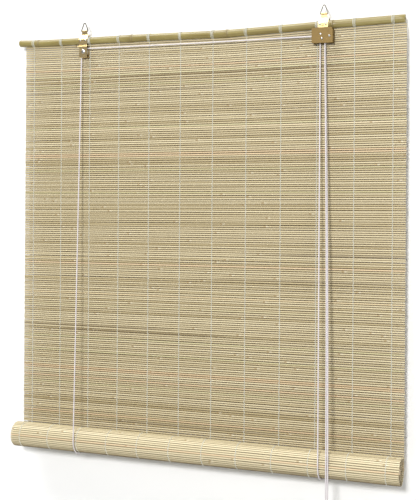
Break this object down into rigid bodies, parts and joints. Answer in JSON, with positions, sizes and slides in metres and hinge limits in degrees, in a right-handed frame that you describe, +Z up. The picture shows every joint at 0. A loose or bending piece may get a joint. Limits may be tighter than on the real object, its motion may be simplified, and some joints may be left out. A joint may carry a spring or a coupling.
{
  "type": "roll up blind",
  "caption": "Bamboo roll up blind, half rolled up, with a cane head pole, two ring hangers, lift cords, a pulley, a cord lock and pull cords with a bell.",
  "frame": {"origin": "midpoint of the line between the highest inner points of the two hanging rings, where the wall hooks bear", "axes": "+X along the blind to the right as seen from the room, +Y towards the wall, +Z up"},
  "size_m": [0.8144, 0.0732, 0.9816],
  "materials": {
    "bamboo_pole": "natural cane, waxy",
    "bamboo_slats": "split bamboo, matt",
    "wood_rod": "plain round rod",
    "warp_thread": "twisted cotton thread",
    "cord": "braided cotton cord",
    "steel_wire": "dark plated wire",
    "steel_pins": "bright plated",
    "brass_sheet": "brassed sheet steel",
    "brass_cam": "cast, brassed",
    "pulley_plastic": "moulded, satin",
    "tie_band": "woven strip",
    "bell_wood": "turned, clear varnish"
  },
  "bodies": {
    "head": {"head_pole": "bamboo_pole", "pole_ties": "warp_thread", "hanging_mat": "bamboo_slats", "mat_threads": "warp_thread", "left_hanger": "brass_sheet", "right_hanger": "brass_sheet", "left_hanger_screws": "steel_pins", "right_hanger_screws": "steel_pins", "left_pulley_axle": "steel_pins", "lock_front_plate": "brass_sheet", "lock_back_plate": "brass_sheet", "lock_cover": "brass_sheet", "lock_pulley_axle": "steel_pins", "lock_guide_pin": "steel_pins", "lock_cam_pin": "steel_pins", "left_lift_cord_front": "cord", "right_lift_cord_front": "cord", "left_lift_cord_back": "cord", "right_lift_cord_back": "cord", "lift_cord_knots": "cord", "cross_cord": "cord", "right_lock_cord": "cord", "left_pull_cord": "cord", "right_pull_cord": "cord"},
    "cradle": {"left_cord_sling": "cord", "right_cord_sling": "cord"},
    "roll": {"mat_roll": "bamboo_slats", "roll_threads": "warp_thread", "bottom_rod": "wood_rod"},
    "left_pulley": {"left_pulley": "pulley_plastic"},
    "lock_pulley": {"lock_pulley": "pulley_plastic"},
    "lock_cam": {"lock_cam": "brass_cam"},
    "left_ring": {"left_ring": "steel_wire"},
    "right_ring": {"right_ring": "steel_wire"},
    "pull_end": {"left_pull_drop": "cord", "right_pull_drop": "cord", "pull_cord_coil": "cord", "coil_tie": "tie_band", "pull_cord_ends": "cord", "pull_bell": "bell_wood", "bell_knot": "cord"}
  },
  "joints": [
    {"name": "roll_lift", "type": "slide", "parent": "head", "child": "cradle", "axis": [0, 0, 1], "range_m": [0, 0.735], "deforming": ["hanging_mat", "mat_threads", "left_lift_cord_front", "right_lift_cord_front", "left_lift_cord_back", "right_lift_cord_back", "left_pull_cord", "right_pull_cord"]},
    {"name": "roll_turn", "type": "hinge", "parent": "cradle", "child": "roll", "pos_m": [0, -0.02535, -0.847], "axis": [1, 0, 0], "range_deg": [-1664, 0]},
    {"name": "left_pulley_turn", "type": "hinge", "parent": "head", "child": "left_pulley", "pos_m": [-0.249, -0.0084, -0.05901], "axis": [0, 1, 0], "continuous": true},
    {"name": "lock_pulley_turn", "type": "hinge", "parent": "head", "child": "lock_pulley", "pos_m": [0.2525, -0.0083, -0.06353], "axis": [0, 1, 0], "continuous": true},
    {"name": "lock_cam_swing", "type": "hinge", "parent": "head", "child": "lock_cam", "pos_m": [0.2669, -0.0083, -0.05953], "axis": [0, 1, 0], "range_deg": [-30, 0]},
    {"name": "left_ring_swing", "type": "hinge", "parent": "head", "child": "left_ring", "pos_m": [-0.253, 0, -0.0155], "axis": [1, 0, 0], "range_deg": [-80, 80]},
    {"name": "right_ring_swing", "type": "hinge", "parent": "head", "child": "right_ring", "pos_m": [0.253, 0, -0.0155], "axis": [1, 0, 0], "range_deg": [-80, 80]},
    {"name": "cord_pull", "type": "slide", "parent": "cradle", "child": "pull_end", "axis": [0, 0, -1], "range_m": [0, 2.205], "deforming": ["left_pull_drop", "right_pull_drop"]}
  ],
  "couplings": [
    {"joint": "roll_turn", "follows": "roll_lift", "rad_per_m": -39.448},
    {"joint": "cord_pull", "follows": "roll_lift", "ratio": 3},
    {"joint": "left_pulley_turn", "follows": "roll_lift", "rad_per_m": 322.58},
    {"joint": "lock_pulley_turn", "follows": "roll_lift", "rad_per_m": 400}
  ]
}
